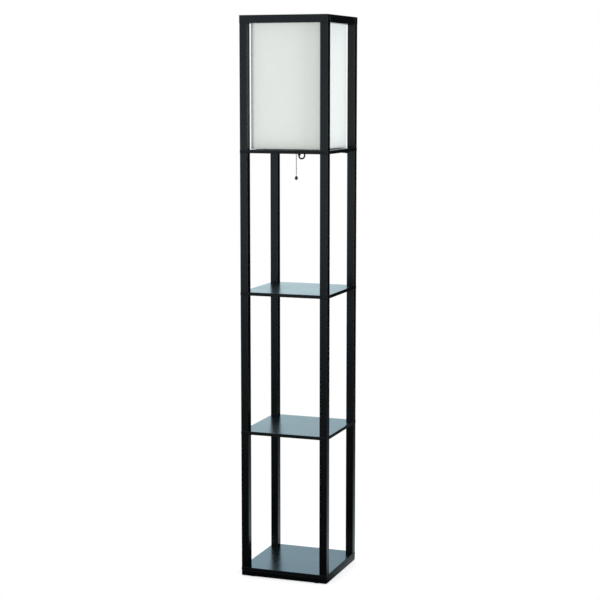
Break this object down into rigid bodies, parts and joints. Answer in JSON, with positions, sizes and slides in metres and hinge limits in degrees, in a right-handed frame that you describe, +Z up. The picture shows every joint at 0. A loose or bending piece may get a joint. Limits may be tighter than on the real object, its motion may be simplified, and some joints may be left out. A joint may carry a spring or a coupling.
{
  "type": "shelf floor lamp",
  "caption": "Tall slim square floor lamp of black wood with open shelf bays below a white fabric box shade, a bead pull chain under the lamp panel and a plug-in cord.",
  "frame": {"origin": "on the floor, under the middle of the square base", "axes": "+Z up, -Y the front where the pull chain hangs, +X the right seen from the front"},
  "size_m": [0.258, 0.3099, 1.5862],
  "materials": {
    "black_wood": "satin black lacquer",
    "zinc_steel": "zinc plated",
    "glide_plastic": "matte",
    "shade_linen": "woven linen",
    "shade_backing": "matte",
    "white_wire": "satin white",
    "holder_brass": "polished",
    "fibre_board": "matte",
    "dark_phenolic": "moulded",
    "plain_aluminium": "rolled",
    "frosted_glass": "frosted",
    "chain_nickel": "nickel plated",
    "knob_black": "gloss black",
    "black_ferrule": "gloss",
    "cord_black": "matte vinyl",
    "clip_black": "moulded",
    "blade_brass": "plated"
  },
  "bodies": {
    "frame": {"post_front_left_bottom": "black_wood", "post_front_left_middle": "black_wood", "post_front_left_upper": "black_wood", "post_front_left_shade": "black_wood", "post_front_right_bottom": "black_wood", "post_front_right_middle": "black_wood", "post_front_right_upper": "black_wood", "post_front_right_shade": "black_wood", "post_back_left_bottom": "black_wood", "post_back_left_middle": "black_wood", "post_back_left_upper": "black_wood", "post_back_left_shade": "black_wood", "post_back_right_bottom": "black_wood", "post_back_right_middle": "black_wood", "post_back_right_upper": "black_wood", "post_back_right_shade": "black_wood", "base_rail_front": "black_wood", "base_rail_back": "black_wood", "base_rail_left": "black_wood", "base_rail_right": "black_wood", "top_rail_front": "black_wood", "top_rail_back": "black_wood", "top_rail_left": "black_wood", "top_rail_right": "black_wood", "base_panel": "black_wood", "lower_shelf": "black_wood", "upper_shelf": "black_wood", "lamp_panel": "black_wood", "threaded_inserts": "zinc_steel", "frame_studs": "zinc_steel", "base_bolts": "zinc_steel", "floor_glides": "glide_plastic", "shade_fabric": "shade_linen", "shade_liner": "shade_backing", "shade_frame": "white_wire", "threaded_nipple": "zinc_steel", "nipple_nut": "zinc_steel", "cord_bushing": "cord_black", "socket_cap": "holder_brass", "socket_shell": "holder_brass", "chain_guide": "holder_brass", "socket_liner": "fibre_board", "socket_body": "dark_phenolic", "screw_shell": "plain_aluminium", "centre_contact": "holder_brass", "chain_ferrule": "black_ferrule", "cord_loop": "cord_black", "cord_drop": "cord_black", "cord_coil": "cord_black", "cord_clips": "clip_black", "plug_body": "cord_black", "plug_blades": "blade_brass"},
    "pull": {"chain_upper": "chain_nickel"},
    "drum": {"switch_drum": "holder_brass"},
    "swivel": {"swing_bead": "chain_nickel"},
    "pendant": {"chain_lower": "chain_nickel", "chain_knob": "knob_black"},
    "bulb_carrier": {"bulb_tip": "holder_brass"},
    "bulb": {"bulb_cap": "plain_aluminium", "bulb_glass": "frosted_glass"}
  },
  "joints": [
    {"name": "chain_pull", "type": "slide", "parent": "frame", "child": "pull", "axis": [0, 0, -1], "range_m": [0, 0.008], "stiffness_N_per_m": 600, "springref_m": -0.002},
    {"name": "drum_turn", "type": "hinge", "parent": "frame", "child": "drum", "pos_m": [0, -0.01891, 1.2462], "axis": [1, 0, 0], "range_deg": [0, 90.5]},
    {"name": "chain_swing_forward", "type": "hinge", "parent": "pull", "child": "swivel", "pos_m": [0, -0.024, 1.2042], "axis": [1, 0, 0], "range_deg": [-25, 25]},
    {"name": "chain_swing_sideways", "type": "hinge", "parent": "swivel", "child": "pendant", "pos_m": [0, -0.024, 1.2042], "axis": [0, 1, 0], "range_deg": [-25, 25]},
    {"name": "bulb_lift", "type": "slide", "parent": "frame", "child": "bulb_carrier", "axis": [0, 0, 1], "range_m": [0, 0.0109]},
    {"name": "bulb_turn", "type": "hinge", "parent": "bulb_carrier", "child": "bulb", "pos_m": [0, 0, 1.2582], "axis": [0, 0, 1], "range_deg": [0, 1080]}
  ],
  "couplings": [
    {"joint": "drum_turn", "follows": "chain_pull", "rad_per_m": 196.35},
    {"joint": "bulb_lift", "follows": "bulb_turn", "m_per_rad": 0.00057757}
  ]
}
